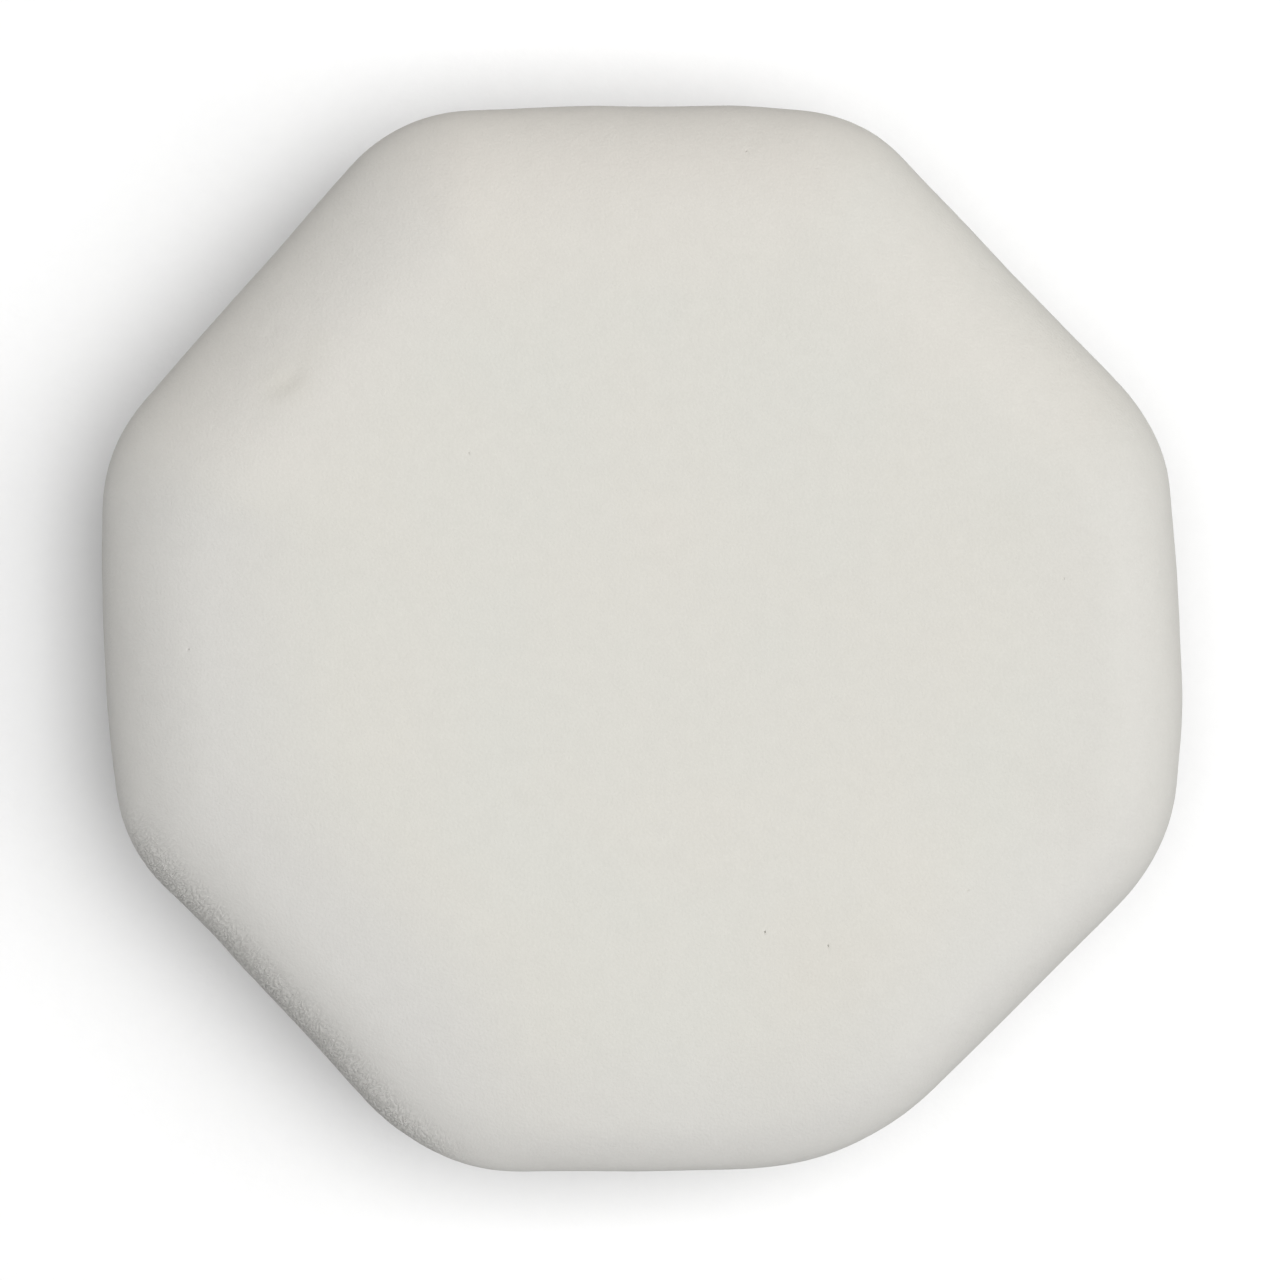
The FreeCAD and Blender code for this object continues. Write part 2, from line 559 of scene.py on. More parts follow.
def build_skin(name, side, outer_rings, depths, beyond=0.0, wander=WANDER, fray=0.0):
    """A closed skin on one side, between two depths, with its hem a little beyond the coat's."""
    outer, inner = depths
    lip_depth = LIP * (inner - outer)
    seed = SEEDS[side]

    def surface(depth, back_off=0.0):
        def place(turn, out):
            edge = at(outline, turn)
            wandering = wander * lumps(np.column_stack([edge, 0 * turn]), WANDER_SIZE, seed)
            # with the turn as its third coordinate the noise changes from thread to thread
            frayed = fray * lumps(np.column_stack([edge, turn]), FRAY_SIZE, seed)
            trim = HEMS[side] + beyond + wandering + frayed - back_off
            return skin_points(side, turn, out, depth, trim)

        return place

    shell = Shell()
    outer_loop = shell.add_disc(outer_rings, surface(outer, lip_depth))
    turn = ring_turns(outer_rings)
    lip = surface(outer + lip_depth)(turn, np.ones(len(turn)))
    lip_loop = shell.add_loop(outer_loop, lip, turn, 1.0)
    inner_loop = shell.add_disc(HIDDEN_RINGS, surface(inner))
    shell.join(lip_loop, inner_loop)
    return shell.build(name)


front_coat = build_skin("front_grit_coat_skin", "front", FINE_RINGS, COAT_DEPTHS)

# %% Grind a coat
HEM_HOLD = 0.03  # share of the skin over which the grinding fades out at the hem


def grind(piece, seed, marks):
    """Moves a coat's outer points by its grinding and by its own marks."""
    mesh = piece.data
    points = read(mesh.vertices, "co", 3)
    normals = read(mesh.vertex_normals, "vector", 3)
    turn, out = kept(mesh, "turn"), kept(mesh, "out")
    rise = grinding(points, turn, out, seed) + marks(points)
    fuzz = fuzz_strength(turn, out)
    rise += FUZZ * fuzz * lumps(points, FUZZ_SIZE, seed + 2)
    outer = np.arange(len(points)) < disc_size(FINE_RINGS)
    hold = ramp(1 - out, 0, HEM_HOLD)  # the hem keeps its thickness
    moved = points + normals * (rise * outer * hold)[:, None]
    mesh.vertices.foreach_set("co", moved.ravel())
    mesh.update()
    keep(mesh, "fuzz", fuzz)
    print(f"{piece.name}: ground by {rise.min() / MM:.2f} to {rise.max() / MM:.2f} mm")


CRESCENT = np.array([-20.6, 15.4]) * MM
NICK = np.array([-20.2, 16.7]) * MM


def front_marks(points):
    near_top = points[:, 2] > thickness / 2
    caught = crescent(points, CRESCENT, radius=1.9 * MM, opening=-50, depth=0.10 * MM)
    nicked = dent(points, NICK, width=0.7 * MM, depth=0.04 * MM)
    return (caught + nicked) * near_top


grind(front_coat, SEEDS["front"], front_marks)

# %% [markdown]
# A pinhole is a bubble of the resin that the grinding opened. A dark dot in the material would do
# from afar, but the rim of a real hole catches the light, so each is cut into the mesh: the face
# at its place is inset twice, for a rim and a floor, and pushed in. The points inside each hole are
# also painted darker by the material, as painted shade.

# %% Open the front pinholes
PINHOLE_STEPS = ((0.085, 0.2), (0.06, 1.0))  # radius in mm and share of the depth, rim then floor
FACING = 0.2  # a face counts as facing up or down from this slope of its normal
INSET = 0.01 * MM  # a first inset, before its corners are placed
# place on the face in mm from the middle, depth in mm, how dark its painted shade is from 0 to 1
PINHOLES = (
    (6.8, -16.0, 0.16, 0.8),
    (10.1, -16.75, 0.12, 0.5),
    (5.85, 26.6, 0.10, 0.5),
    (-24.8, -0.7, 0.08, 0.3),
    (-9.3, 10.2, 0.06, 0.25),
    (22.9, 3.3, 0.06, 0.25),
    (17.8, -13.7, 0.06, 0.25),
)


def prick(piece, places, upward):
    """Opens a pinhole in the face nearest to each place, and keeps how dark the painted shade is at
    the points inside one.
    """
    mesh = bmesh.new()
    mesh.from_mesh(piece.data)
    inside = mesh.verts.layers.float.new("pinhole")
    faces = list(mesh.faces)
    centres = np.array([f.calc_center_median() for f in faces])
    facing = np.array([f.normal.z for f in faces]) * upward > FACING
    for x, y, deep, hole_shade in places:
        away = np.linalg.norm(centres[:, :2] - np.array([x, y]) * MM, axis=1)
        face = faces[int(np.argmin(np.where(facing, away, 1.0)))]
        middle, inward = face.calc_center_median(), -face.normal
        for radius, share in PINHOLE_STEPS:
            bmesh.ops.inset_individual(mesh, faces=[face], thickness=INSET)
            for corner in face.verts:
                aside = (corner.co - middle).normalized()
                corner.co = middle + aside * radius * MM + inward * share * deep * MM
        for corner in face.verts:
            corner[inside] = hole_shade
    mesh.to_mesh(piece.data)
    mesh.free()
    print(f"{piece.name}: {len(places)} pinholes")


prick(front_coat, PINHOLES, 1)
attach(front_coat, "root")
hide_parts("front_grit_coat")

# %% The back coat, ground in the same way
SCRAPE = np.array([11.0, -9.0]) * MM
# place, depth and how dark the painted shade in each pinhole is, as for the front
BACK_PINHOLES = (
    (-7.5, 12.2, 0.18, 0.8),
    (14.3, 6.1, 0.20, 0.9),
    (3.2, -18.4, 0.12, 0.6),
    (-19.0, -8.5, 0.15, 0.7),
    (9.9, -4.0, 0.12, 0.5),
)


def back_marks(points):
    near_bottom = points[:, 2] < thickness / 2
    return dent(points, SCRAPE, width=2.6 * MM, depth=0.05 * MM) * near_bottom


back_coat = build_skin("back_grit_coat_skin", "back", FINE_RINGS, COAT_DEPTHS)
grind(back_coat, SEEDS["back"], back_marks)
prick(back_coat, BACK_PINHOLES, -1)
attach(back_coat, "root")
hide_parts("back_grit_coat")

# %% [markdown]
# ## Cloth and adhesive
#
# Under each coat lie the stretch cloth that carries the grit and the film that bonds it to the
# foam. Only their cut edges show, at the hem, as two thin steps: the knife leaves the coat a little
# shorter than the cloth, the cloth frays, and the adhesive squeezes out past both. Narrow strips
# would look the same from outside, but whole layers keep the block true when it is taken apart.
# Cloth knitted from threads would take millions of faces for an edge a third of a millimetre
# thick, so its threads show only in the fray of its hem and in its material.

# %% Cloths and films
# kind, depths, how far the hem lies beyond the coat's, its wander and its fray, in mm, and slot
LAYERS = (
    ("backing_cloth", (0.20, 0.54), 0.12, 0.13, 0.05, "backing_cloth"),
    ("adhesive_film", (0.55, 0.69), 0.24, 0.15, 0.03, "adhesive"),
)
skins = {}
for side in ("front", "back"):
    for kind, (near, far), beyond, wander, fray, slot_name in LAYERS:
        node = f"{side}_{kind}"
        depths = (near * MM, far * MM)
        hem = (beyond * MM, wander * MM, fray * MM)
        piece = build_skin(f"{node}_skin", side, HIDDEN_RINGS, depths, *hem)
        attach(piece, "root")
        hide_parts(node)
        skins[node] = piece

# %% [markdown]
# ## The foam cushion
#
# Two foam layers fill the block. Between the hems of the two facings their cut sides show as a
# belt, and there the foam is what it is: a froth of tiny cells, sliced open by the blade. Each
# layer also swells a little between the hem above it and the glue line, because nothing holds it
# in. A bump texture would show dark dots on a flat wall, so the open cells are pressed into the
# mesh as small bowls of many sizes.

# %% Open cells along the belt
BELT_ROWS = 28
BELT_TURNS = 2304  # points round the belt
BOWL = 0.7  # depth of an open cell as a share of its radius


def open_cells(height, count, sizes, seed):
    """How deep the sliced cells are on a grid of belt rows and turns, from a seeded scatter."""
    scatter = np.random.default_rng(seed)
    depth = np.zeros((BELT_ROWS + 1, BELT_TURNS))
    row_step, turn_step = height / BELT_ROWS, girth / BELT_TURNS
    small, large = sizes
    for _ in range(count):
        radius = (small + (large - small) * scatter.uniform() ** 3) * MM  # few are large
        row, column = scatter.uniform(0, BELT_ROWS), scatter.uniform(0, BELT_TURNS)
        first, last = row - radius / row_step, row + radius / row_step
        rows = np.arange(max(0, math.ceil(first)), min(BELT_ROWS, math.floor(last)) + 1)
        first, last = column - radius / turn_step, column + radius / turn_step
        columns = np.arange(math.ceil(first), math.floor(last) + 1)
        away = np.hypot(((rows - row) * row_step)[:, None], (columns - column) * turn_step)
        bowl = BOWL * radius * np.sqrt(np.clip(1 - (away / radius) ** 2, 0, 1))
        patch = np.ix_(rows, columns % BELT_TURNS)
        depth[patch] = np.maximum(depth[patch], bowl)
    return depth


sample = open_cells(3 * MM, 100, (0.1, 0.3), 1)
print(f"100 cells cut open {100 * (sample > 0).mean():.1f}% of a belt")

# %% Build a foam layer
BELT_INSET = 0.71 * MM  # just inside the adhesive film
SWELL = 0.28 * MM
HELD = 0.11  # the first share of the belt's height, held flat behind the edge of the adhesive
PINCH = 0.10 * MM  # how far the glue draws the foam in
GLUED_INSET = BELT_INSET + PINCH + 0.12 * MM  # where the flat against the glue starts
CUT_MIDDLE, CUT_SPREAD = 0.52, 0.60  # the cells are deepest near the middle of the belt
GRAINS = ((0.03, 0.9), (0.02, 0.25))  # height and size of the belt's unevenness, in mm


def build_foam(name, side, hem_level, glue_level, cells, sizes, seed):
    """A foam layer: domed under its facing, swollen at the belt, flat against the glue."""
    face_to_hem = abs((thickness if side == "front" else 0.0) - hem_level)

    def under_facing(turn, out):
        return skin_points(side, turn, out, BELT_INSET, face_to_hem)

    def against_glue(turn, out):
        edge = at(outline, turn) - at(outward, turn) * GLUED_INSET
        return np.column_stack([edge * out[:, None], np.full(len(out), glue_level)])

    shell = Shell()
    loop = shell.add_disc(HIDDEN_RINGS, under_facing)
    turn = np.arange(BELT_TURNS) / BELT_TURNS
    edge, normal = at(outline, turn), at(outward, turn)
    tall = abs(glue_level - hem_level)
    belt = open_cells(tall, cells, sizes, seed)
    for row, cut in enumerate(belt):
        share = row / BELT_ROWS
        cut *= bell(abs(share - CUT_MIDDLE), CUT_SPREAD)
        free = max(0.0, (share - HELD) / (1 - HELD))
        swell = SWELL * math.sin(math.pi * free**0.8) ** 0.7 - PINCH * share**4
        here = np.column_stack([edge, np.full(len(turn), share * tall)])
        grain = sum(height * MM * lumps(here, size * MM, seed) for height, size in GRAINS)
        reach = swell + grain * free**0.5 - cut - BELT_INSET
        level = hem_level + (glue_level - hem_level) * share
        points = np.column_stack([edge + normal * reach[:, None], np.full(len(turn), level)])
        loop = shell.add_loop(loop, points, turn, 1.0)
    glued = shell.add_disc(HIDDEN_RINGS, against_glue)
    shell.join(loop, glued)
    piece = shell.build(name)
    hidden = disc_size(HIDDEN_RINGS)
    cell_depth = np.zeros(len(piece.data.vertices))
    cell_depth[hidden : hidden + belt.size] = belt.ravel() / belt.max()
    keep(piece.data, "cell", cell_depth)
    print(f"{name}: {cells} open cells, deepest {belt.max() / MM:.2f} mm")
    return piece


# %% The two foam layers
glue_bottom, glue_top = (corner.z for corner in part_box("centre_glue_film"))
GLUE_GAP = 0.005 * MM
soft_foam = build_foam(
    "front_soft_foam_layer",
    "front",
    front_hem,
    glue_top + GLUE_GAP,
    cells=5200,
    sizes=(0.09, 0.34),
    seed=3,
)
firm_foam = build_foam(
    "back_firm_foam_layer",
    "back",
    back_hem,
    glue_bottom - GLUE_GAP,
    cells=7600,
    sizes=(0.07, 0.22),
    seed=4,
)
for piece, node, slot_name, fill in (
    (soft_foam, "front_soft_foam", "soft_foam", 0.85),
    (firm_foam, "back_firm_foam", "firm_foam", 1.0),
):
    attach(piece, "root")
    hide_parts(node)

# %% [markdown]
# ## The glue line
#
# The film that joins the two foam layers is thin and even inside, and at the belt it ends in an
# uneven bead: in some places it has squeezed out, in others it stops short. The edge of a plain
# slab would be a ruled line between the foams, so the edge is rounded and moved by noise.

# %% The glue film with its uneven bead
BEAD = 0.10 * MM  # how far the bead wanders out and in
BEHIND = 0.1 * MM  # how far behind the bead the slab itself ends
FLOWS = ((1.0, 4.0, 8.0), (0.5, 1.1, 9.0))  # strength, size in mm and seed of the bead's lumps
# from the top down: share of the way out to the bead, share of the way up from the middle
BEAD_ROUNDING = ((0.6, 0.8), (1.0, 0.3), (1.0, -0.3), (0.6, -0.8))


def build_glue():
    """A thin slab between the foam layers, with a rounded edge that wanders in and out."""
    middle = (glue_bottom + glue_top) / 2
    half = (glue_top - glue_bottom) / 2

    def bead_edge(turn, share):
        edge, normal = at(outline, turn), at(outward, turn)
        level_edge = np.column_stack([edge, 0 * turn])
        flow = sum(strength * lumps(level_edge, size * MM, seed) for strength, size, seed in FLOWS)
        reach = BEAD * flow * share - BELT_INSET - BEHIND * (1 - share)
        return edge + normal * reach[:, None]

    def slab(level):
        def place(turn, out):
            return np.column_stack([bead_edge(turn, 0.0) * out[:, None], np.full(len(out), level)])

        return place

    shell = Shell()
    loop = shell.add_disc(HIDDEN_RINGS, slab(middle + half))
    turn = ring_turns(FINE_RINGS)
    for share, rise in BEAD_ROUNDING:
        points = np.column_stack([bead_edge(turn, share), np.full(len(turn), middle + rise * half)])
        loop = shell.add_loop(loop, points, turn, 1.0)
    shell.join(loop, shell.add_disc(HIDDEN_RINGS, slab(middle - half)))
    return shell.build("centre_glue_film_layer")


glue_film = build_glue()
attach(glue_film, "root")
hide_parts("centre_glue_film")

# %% [markdown]
# ## Finishes
#
# All six finishes are pale, and all but the adhesive are matt, so they are told apart by their
# grain: its size, how far it stands up, and how its colour wanders. Images could be wrapped round
# the block, but they would stretch over its shoulders. Nodes that read the block's own coordinates
# give the grain its real size everywhere.

# %% Short ways to make nodes
MAP_ENDS = ("From Min", "From Max", "To Min", "To Max")
COLOUR_ENDS, COLOUR_MIXED = (6, 7), 2  # the sockets that a Mix node has for colours
NOISE_SPREAD = 0.2  # how far from a half most values of a Noise node lie
CELL_RANGE = (0.1, 0.8)  # a Voronoi node's distances, from inside a cell to its edge


def set_map(node, *ends):
    """Sets what a Map Range node reads from and what it gives."""
    for label, end in zip(MAP_ENDS, ends):
        node.inputs[label].default_value = end


class Finish:
    """A material with short ways to add nodes to it."""

    def __init__(self, name, roughness):
        self.material = bpy.data.materials.new(name)
        self.material.use_nodes = True
        self.tree = self.material.node_tree
        self.shader = self.tree.nodes["Principled BSDF"]
        self.shader.inputs["Roughness"].default_value = roughness
        self.place = self.tree.nodes.new("ShaderNodeTexCoord").outputs["Object"]

    def join(self, source, target):
        self.tree.links.new(source, target)

    def kept(self, label):
        """A value kept on the mesh's points."""
        node = self.tree.nodes.new("ShaderNodeAttribute")
        node.attribute_name = label
        return node.outputs["Fac"]

    def noise(self, size, detail=2.0, contrast=1.0, vector=None):
        """Soft noise with lumps of a real size, from 0 to 1 about a half."""
        node = self.tree.nodes.new("ShaderNodeTexNoise")
        node.inputs["Scale"].default_value = 1 / size
        node.inputs["Detail"].default_value = detail
        self.join(vector or self.place, node.inputs["Vector"])
        spread = NOISE_SPREAD / contrast
        return self.map(node.outputs["Fac"], 0.5 - spread, 0.5 + spread, 0, 1)

    def cells(self, size):
        """Round cells of a real size: 0 in the middle of each, 1 between them."""
        node = self.tree.nodes.new("ShaderNodeTexVoronoi")
        node.inputs["Scale"].default_value = 1 / size
        self.join(self.place, node.inputs["Vector"])
        return self.map(node.outputs["Distance"], *CELL_RANGE, 0, 1)

    def map(self, value, *ends):
        """A value's range, from the first two ends, turned into the range of the other two."""
        node = self.tree.nodes.new("ShaderNodeMapRange")
        self.join(value, node.inputs["Value"])
        set_map(node, *ends)
        return node.outputs["Result"]

    def sum(self, one, other, how="ADD"):
        """Two values added, or put together in another way that a Math node has."""
        node = self.tree.nodes.new("ShaderNodeMath")
        node.operation = how
        for value, socket in zip((one, other), node.inputs):
            if isinstance(value, float):
                socket.default_value = value
            else:
                self.join(value, socket)
        return node.outputs["Value"]

    def mix(self, share, one, other):
        """One colour turning into another as share goes from 0 to 1."""
        node = self.tree.nodes.new("ShaderNodeMix")
        node.data_type = "RGBA"
        self.join(share, node.inputs["Factor"])
        for value, end in zip((one, other), COLOUR_ENDS):
            if isinstance(value, tuple):
                node.inputs[end].default_value = (*value, 1.0)
            else:
                self.join(value, node.inputs[end])
        return node.outputs[COLOUR_MIXED]

    def bump(self, heights):
        """Bumps one on another, each a height from 0 to 1 and how far it stands up."""
        normal = None
        for height, stand in heights:
            node = self.tree.nodes.new("ShaderNodeBump")
            node.inputs["Distance"].default_value = stand
            self.join(height, node.inputs["Height"])
            if normal is not None:
                self.join(normal, node.inputs["Normal"])
            normal = node.outputs["Normal"]
        self.join(normal, self.shader.inputs["Normal"])

    def coat(self, *pieces):
        """Gives the finish to pieces."""
        for piece in pieces:
            piece.data.materials.clear()
            piece.data.materials.append(self.material)
        print(f"{self.material.name}: {len(self.tree.nodes)} nodes, on {len(pieces)} pieces")


def shade(colour, times):
    """A colour made lighter or darker."""
    return tuple(min(c * times, 1.0) for c in colour)


# %% [markdown]
# The grit coats: fine grains in resin look like suede or an eggshell. The colour drifts slowly
# between a warm and a cool off-white, with a speckle of grains over it. The shoulders that are
# held in use have yellowed a little. Most shoulders are painted a cooler, deeper grey as
# painted shade, and on the lower left that painted shade reaches into the face. There the ground
# fibres stand up in a fine nap, with painted shade between them. A few faint smudges of use lie
# on the faces, and on the crescent dent a darker, warmer patch is painted shade. Noise decides
# where a grain lies, but tones and smudges have places of their own, so their strengths are kept
# on the points of the mesh, as values that the material reads.

# %% Where the coats are handled, painted with shoulder shade, and smudged
NAP_LENGTH = 2.5  # how many times longer a standing fibre is than it is wide
SMUDGE_SIZE = 1.2 * MM  # the size of the lumps that a smudge is made of
# tone, the direction it is strongest in and its spread in degrees, where on the skin it begins,
# and how its lightness, red and blue differ from the coat's own
TONES = (
    ("handled", 108.0, 75.0, 0.56, 1.0, 1.024, 0.998),
    # painted shade: a cooler, darker grey over most shoulders, strongest at the bottom
    ("shoulder_shade", 255.0, 160.0, 0.54, 0.965, 0.998, 1.034),
    # painted shade: a cooler, darker grey on the lower left shoulder, reaching into the face
    ("lower_left_shade", 216.0, 60.0, 0.46, 0.955, 0.998, 1.034),
)
TONE_WIDTH = 0.2  # how far over the skin a tone takes to reach its full strength

# place on the face in mm, radius in mm, and how strong each smudge is; the first two are painted
# shade of the crescent dent, the others smudges of use
FRONT_SMUDGES_AND_DENT_SHADE = (
    # painted shade of the crescent dent, darker and warmer
    (-19.4, 14.0, 2.6, 0.50),
    (-17.8, 15.8, 2.0, 0.25),
    (11.0, -18.0, 6.0, 0.20),
    (-6.3, -8.6, 1.2, 0.15),
    (20.0, 6.5, 3.2, 0.15),
)
BACK_SMUDGES = (
    (6.0, -4.0, 8.0, 0.9),
    (-9.0, 6.0, 6.0, 0.7),
    (3.0, 13.0, 7.0, 0.6),
    (-6.0, -15.0, 5.0, 0.5),
)


def keep_tones(piece, smudges):
    """Keeps how strong each tone (two are painted shade) and smudge is at each point, and where the
    point is on the nap.
    """
    turn, out = kept(piece.data, "turn"), kept(piece.data, "out")
    points = read(piece.data.vertices, "co", 3)
    smudge_and_dent_shade = sum(
        strength * bell(np.linalg.norm(points[:, :2] - np.array([x, y]) * MM, axis=1), radius * MM)
        for x, y, radius, strength in smudges
    )
    smudge_and_dent_shade *= 0.8 + 0.5 * lumps(points, SMUDGE_SIZE, 40.0)
    keep(piece.data, "smudge_and_dent_shade", np.clip(smudge_and_dent_shade, 0, 1) * (out < FACE_SHARE + SHOULDER_SHARE / 2))
    for label, side, spread, start, *_ in TONES:
        around = bell(degrees_apart(direction_at(turn), side), spread) ** 0.5
        keep(piece.data, label, around * ramp(out, start, TONE_WIDTH))
    nap = np.column_stack([at(outline, turn), out * UNROLLED / NAP_LENGTH])
    layer = piece.data.attributes.new("nap", "FLOAT_VECTOR", "POINT")
    layer.data.foreach_set("vector", nap.astype(np.float32).ravel())
    print(f"{piece.name}: {len(TONES)} tones and {len(smudges)} smudges")


keep_tones(front_coat, FRONT_SMUDGES_AND_DENT_SHADE)
keep_tones(back_coat, BACK_SMUDGES)

# %% Grit finishes
FIBRE, FIBRE_STAND = 0.15 * MM, 0.06 * MM  # how wide a fibre of the nap is, how far it stands up
NAP_SHADE = 0.42  # how much darker the painted shade between the fibres is
GAP = 0.35  # how light the speckle between grains is, and the painted shade between fibres and in pinholes
ROUGH_SPREAD = 0.06  # how much rougher or smoother than the coat a single grain is
DRIFT_SIZE = 11 * MM  # the size of the lumps in which the colour drifts
WARM, COOL = (1.009, 0.996), (0.991, 1.002)  # red and blue where the colour drifts to
CLUMP, CLUMP_STAND = 6, 0.6  # how many grains wide a clump is, its height as a share of a grain's


def tinted(colour, red, blue):
    """A colour with its red and blue made stronger or weaker."""
    return (colour[0] * red, colour[1], colour[2] * blue)


def grit_finish(name, colour, soil_and_dent_shade, grain_size, speckle, stand, roughness):
    """A matt coat of fine grains: slow drift, tones, painted shoulder shade, smudges, speckle, and
    pinholes and a nap with painted shade.
    """
    finish = Finish(name, roughness)
    drift = finish.noise(DRIFT_SIZE, detail=3.0)
    grains = finish.noise(grain_size)
    clumps = finish.noise(CLUMP * grain_size)
    nap_place = finish.tree.nodes.new("ShaderNodeAttribute")
    nap_place.attribute_name = "nap"
    fibres = finish.noise(FIBRE, contrast=2.0, vector=nap_place.outputs["Vector"])
    fuzz = finish.kept("fuzz")
    tint = finish.mix(drift, tinted(colour, *WARM), tinted(colour, *COOL))
    # two of the tones darken the coat towards its edges, as painted shade
    for label, *_, light, red, blue in TONES:
        tint = finish.mix(finish.kept(label), tint, tinted(shade(colour, light), red, blue))
    # smudges of use, and on the front coat painted shade of the crescent dent
    tint = finish.mix(finish.kept("smudge_and_dent_shade"), tint, soil_and_dent_shade)
    speck = finish.sum(finish.sum(grains, clumps), 0.5, "MULTIPLY")
    gap = shade(colour, GAP)
    speckled = finish.mix(finish.sum(speck, speckle, "MULTIPLY"), tint, gap)
    # the nap's fibres, with painted shade between them, on the lower left shoulder
    napped = finish.sum(finish.sum(fibres, NAP_SHADE, "MULTIPLY"), fuzz, "MULTIPLY")
    lower_left_shade = finish.mix(napped, speckled, gap)
    # painted shade in the pinholes
    pricked = finish.mix(finish.kept("pinhole"), lower_left_shade, gap)
    finish.join(pricked, finish.shader.inputs["Base Color"])
    rough = finish.map(grains, 0, 1, roughness - ROUGH_SPREAD, roughness + ROUGH_SPREAD)
    finish.join(rough, finish.shader.inputs["Roughness"])
    fuzzy = finish.sum(fibres, fuzz, "MULTIPLY")
    finish.bump([(clumps, CLUMP_STAND * stand), (grains, stand), (fuzzy, FIBRE_STAND)])
    return finish


FRONT_GRIT = (0.578, 0.567, 0.525)
BACK_GRIT = (0.50, 0.49, 0.455)
FRONT_SOIL_AND_DENT_SHADE = tinted(shade(FRONT_GRIT, 0.90), 1.015, 0.97)  # skin and oil, and painted shade of the crescent dent
BACK_SOILED = tinted(shade(BACK_GRIT, 0.80), 0.99, 1.02)  # nail dust packed between the grains
fine_grit = grit_finish(
    "fine grit",
    FRONT_GRIT,
    FRONT_SOIL_AND_DENT_SHADE,
    grain_size=0.16 * MM,
    speckle=0.06,
    stand=0.010 * MM,
    roughness=0.9,
)
medium_grit = grit_finish(
    "medium grit",
    BACK_GRIT,
    BACK_SOILED,
    grain_size=0.24 * MM,
    speckle=0.22,
    stand=0.028 * MM,
    roughness=0.86,
)
fine_grit.coat(front_coat)
medium_grit.coat(back_coat)

# %% [markdown]
# The cloth is a fine warp knit. A Brick texture has rows too, but its joints are hard and straight,
# and yarn is round. Here three waves along X, Y and Z, each bent a little by noise, make the rows:
# across a face the first two cross into stitches, and up the sides the third adds courses. Between
# the yarns the colour is darker, as painted shade.

# %% Cloth finish
CLOTH = (0.74, 0.70, 0.62)
STITCH = 0.25 * MM
YARN_BEND = 1.5  # how far noise bends the rows
YARN_STAND = 0.04 * MM
YARN_GAP_SHADE = 0.72  # how light the painted shade between the yarns is, as a share of the yarn's own lightness
LINT_SIZE, LINT_STAND = 0.4 * MM, 0.02 * MM


def knit_finish():
    finish = Finish("knit backing cloth", roughness=0.93)
    rows = []
    for axis in ("X", "Y", "Z"):
        wave = finish.tree.nodes.new("ShaderNodeTexWave")
        wave.bands_direction = axis
        # this scale repeats the wave at about every stitch
        wave.inputs["Scale"].default_value = 2 / (STITCH * math.tau)
        wave.inputs["Distortion"].default_value = YARN_BEND
        wave.inputs["Detail"].default_value = 1.0
        finish.join(finish.place, wave.inputs["Vector"])
        rows.append(wave.outputs["Fac"])
    stitches = finish.sum(finish.sum(rows[0], rows[1], "MULTIPLY"), rows[2], "ADD")
    stitches = finish.sum(stitches, 0.5, "MULTIPLY")
    lint = finish.noise(LINT_SIZE)
    # painted shade between the yarns
    yarn = finish.mix(stitches, shade(CLOTH, YARN_GAP_SHADE), CLOTH)
    finish.join(finish.mix(lint, shade(CLOTH, 0.9), yarn), finish.shader.inputs["Base Color"])
    finish.bump([(stitches, YARN_STAND), (lint, LINT_STAND)])
    finish.shader.inputs["Sheen Weight"].default_value = 0.2
    return finish


knit_finish().coat(skins["front_backing_cloth"], skins["back_backing_cloth"])

# %% [markdown]
# Adhesive that has set is a little yellow and less matt than anything round it. A thick clear drop
# would need a see-through shader. This film is too thin and dusty to be looked into, so it is a
# plain surface, a little glossy where it is free of dust.

# %% Adhesive finish
ADHESIVE = (0.60, 0.52, 0.37)


def adhesive_finish():
    finish = Finish("set adhesive", roughness=0.42)
    flow = finish.noise(1.5 * MM, detail=3.0)
    dust = finish.noise(0.3 * MM, detail=1.0)
    clear = finish.mix(flow, shade(ADHESIVE, 0.82), ADHESIVE)
    finish.join(finish.mix(dust, clear, shade(ADHESIVE, 1.12)), finish.shader.inputs["Base Color"])
    finish.join(finish.map(dust, 0, 1, 0.34, 0.55), finish.shader.inputs["Roughness"])
    finish.bump([(flow, 0.03 * MM), (dust, 0.01 * MM)])
    return finish


adhesive_finish().coat(skins["front_adhesive_film"], skins["back_adhesive_film"], glue_film)

# %% [markdown]
# Foam is painted darker deep in its cells, as painted shade, and palest on the thin walls between
# them. The bowls of the mesh give the cells that the blade cut open, and the material paints shade
# into them by their depth. The froth between them is too fine to be modelled, and two cell patterns
# stand for it, the larger with painted shade in the middle of each cell.

# %% Foam finishes
SOFT_FOAM = (0.74, 0.71, 0.64)
FIRM_FOAM = (0.68, 0.66, 0.61)


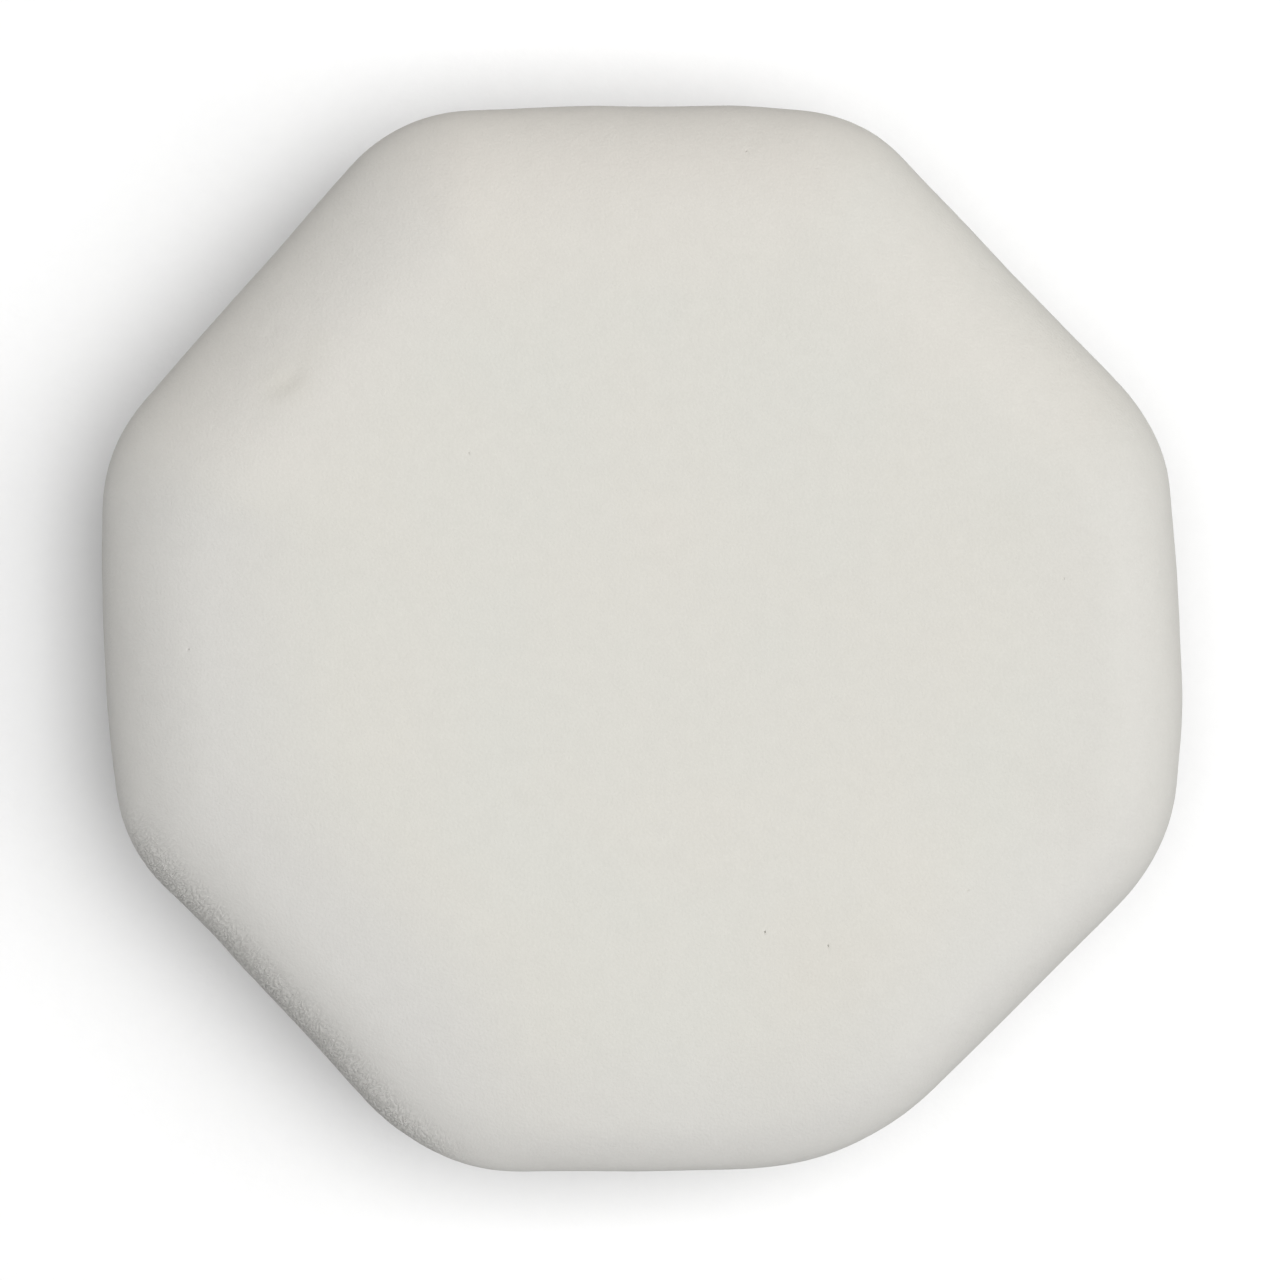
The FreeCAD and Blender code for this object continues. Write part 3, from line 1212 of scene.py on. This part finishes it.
def foam_finish(name, colour, cell_size):
    finish = Finish(name, roughness=0.94)
    small = finish.cells(cell_size)
    tiny = finish.cells(0.45 * cell_size)
    drift = finish.noise(5 * MM)
    walls = finish.mix(drift, colour, shade(colour, 0.93))
    # painted shade in the middle of each cell of the froth
    froth = finish.mix(small, shade(colour, 0.80), walls)
    # painted shade deep in the cells that the blade cut open, by their depth
    cut_cell_shade = finish.map(finish.kept("cell"), 0.15, 1.0, 0, 0.75)
    deep = finish.mix(cut_cell_shade, froth, shade(colour, 0.50))
    finish.join(deep, finish.shader.inputs["Base Color"])
    finish.join(finish.map(tiny, 0, 1, 0.98, 0.88), finish.shader.inputs["Roughness"])
    finish.bump([(small, 0.05 * MM), (tiny, 0.02 * MM)])
    finish.shader.inputs["Sheen Weight"].default_value = 0.1
    return finish


foam_finish("soft foam", SOFT_FOAM, 0.30 * MM).coat(soft_foam)
foam_finish("firm foam", FIRM_FOAM, 0.22 * MM).coat(firm_foam)

# %% [markdown]
# ## The studio
#
# The block lies on a large white table, under a wide lamp overhead and a soft window high on its
# right, so the right shoulder stays bright and the left one falls into a soft shade. The white
# table throws light back at the sides. The lamps are large and far away, so that the whole table
# is lit and not just a patch. Everything is white light: the warmth is all in the block.

# %% Table
TABLE_HALF = 2.5  # metres
TABLE_GAP = 0.02 * MM  # between the table and the block, so that the two don't touch
TABLE = (0.80, 0.80, 0.80)
corners = [(x * TABLE_HALF, y * TABLE_HALF, 0) for x, y in ((-1, -1), (1, -1), (1, 1), (-1, 1))]
table_mesh = bpy.data.meshes.new("table_top")
table_mesh.from_pydata(corners, [], [(0, 1, 2, 3)])
table_top = bpy.data.objects.new("table_top", table_mesh)
table_top.location.z = design_box[0].z - TABLE_GAP
bpy.context.scene.collection.objects.link(table_top)

paper = Finish("table paper", roughness=0.8)
fleck = paper.noise(0.9 * MM, detail=3.0)
paper.join(paper.mix(fleck, shade(TABLE, 0.99), TABLE), paper.shader.inputs["Base Color"])
paper.bump([(fleck, 0.01 * MM)])
paper.coat(table_top)

# %% Lamps
OVERHEAD_POWER = 79.0  # W
WINDOW_POWER = 58.0


def soft_lamp(name, place, size, power):
    """A square lamp that faces the block."""
    data = bpy.data.lights.new(name, "AREA")
    data.shape = "SQUARE"
    data.size = size
    data.energy = power
    lamp = bpy.data.objects.new(name, data)
    lamp.location = place
    lamp.rotation_mode = "QUATERNION"
    lamp.rotation_quaternion = (-Vector(place)).to_track_quat("-Z", "Y")
    bpy.context.scene.collection.objects.link(lamp)
    print(f"{name}: {power} W, {size} m wide, {Vector(place).length:.2f} m away")


soft_lamp("overhead", place=(0.0, 0.0, 3.2), size=2.4, power=OVERHEAD_POWER)
soft_lamp("window", place=(1.2, 0.0, 2.6), size=2.0, power=WINDOW_POWER)

# %% The room round the table
ROOM, WALL = 0.03, 0.80  # how bright the room is above, and its pale wall near the horizon
WALL_TOP = 0.10  # height of the wall as a share of its distance
WALL_FADE = 0.6  # how far up the wall it starts to fade into the room
room = bpy.data.worlds.new("room")
room.use_nodes = True
background = room.node_tree.nodes["Background"]
background.inputs["Color"].default_value = (1, 1, 1, 1)
seen = room.node_tree.nodes.new("ShaderNodeTexCoord")
height = room.node_tree.nodes.new("ShaderNodeSeparateXYZ")
room.node_tree.links.new(seen.outputs["Generated"], height.inputs["Vector"])
fade = room.node_tree.nodes.new("ShaderNodeMapRange")
room.node_tree.links.new(height.outputs["Z"], fade.inputs["Value"])
set_map(fade, WALL_FADE * WALL_TOP, WALL_TOP, WALL, ROOM)
room.node_tree.links.new(fade.outputs["Result"], background.inputs["Strength"])
bpy.context.scene.world = room
bpy.context.scene.view_settings.view_transform = "Standard"
bpy.context.scene.view_settings.look = "None"
print(f"room brightness {ROOM} above and {WALL} near the horizon")
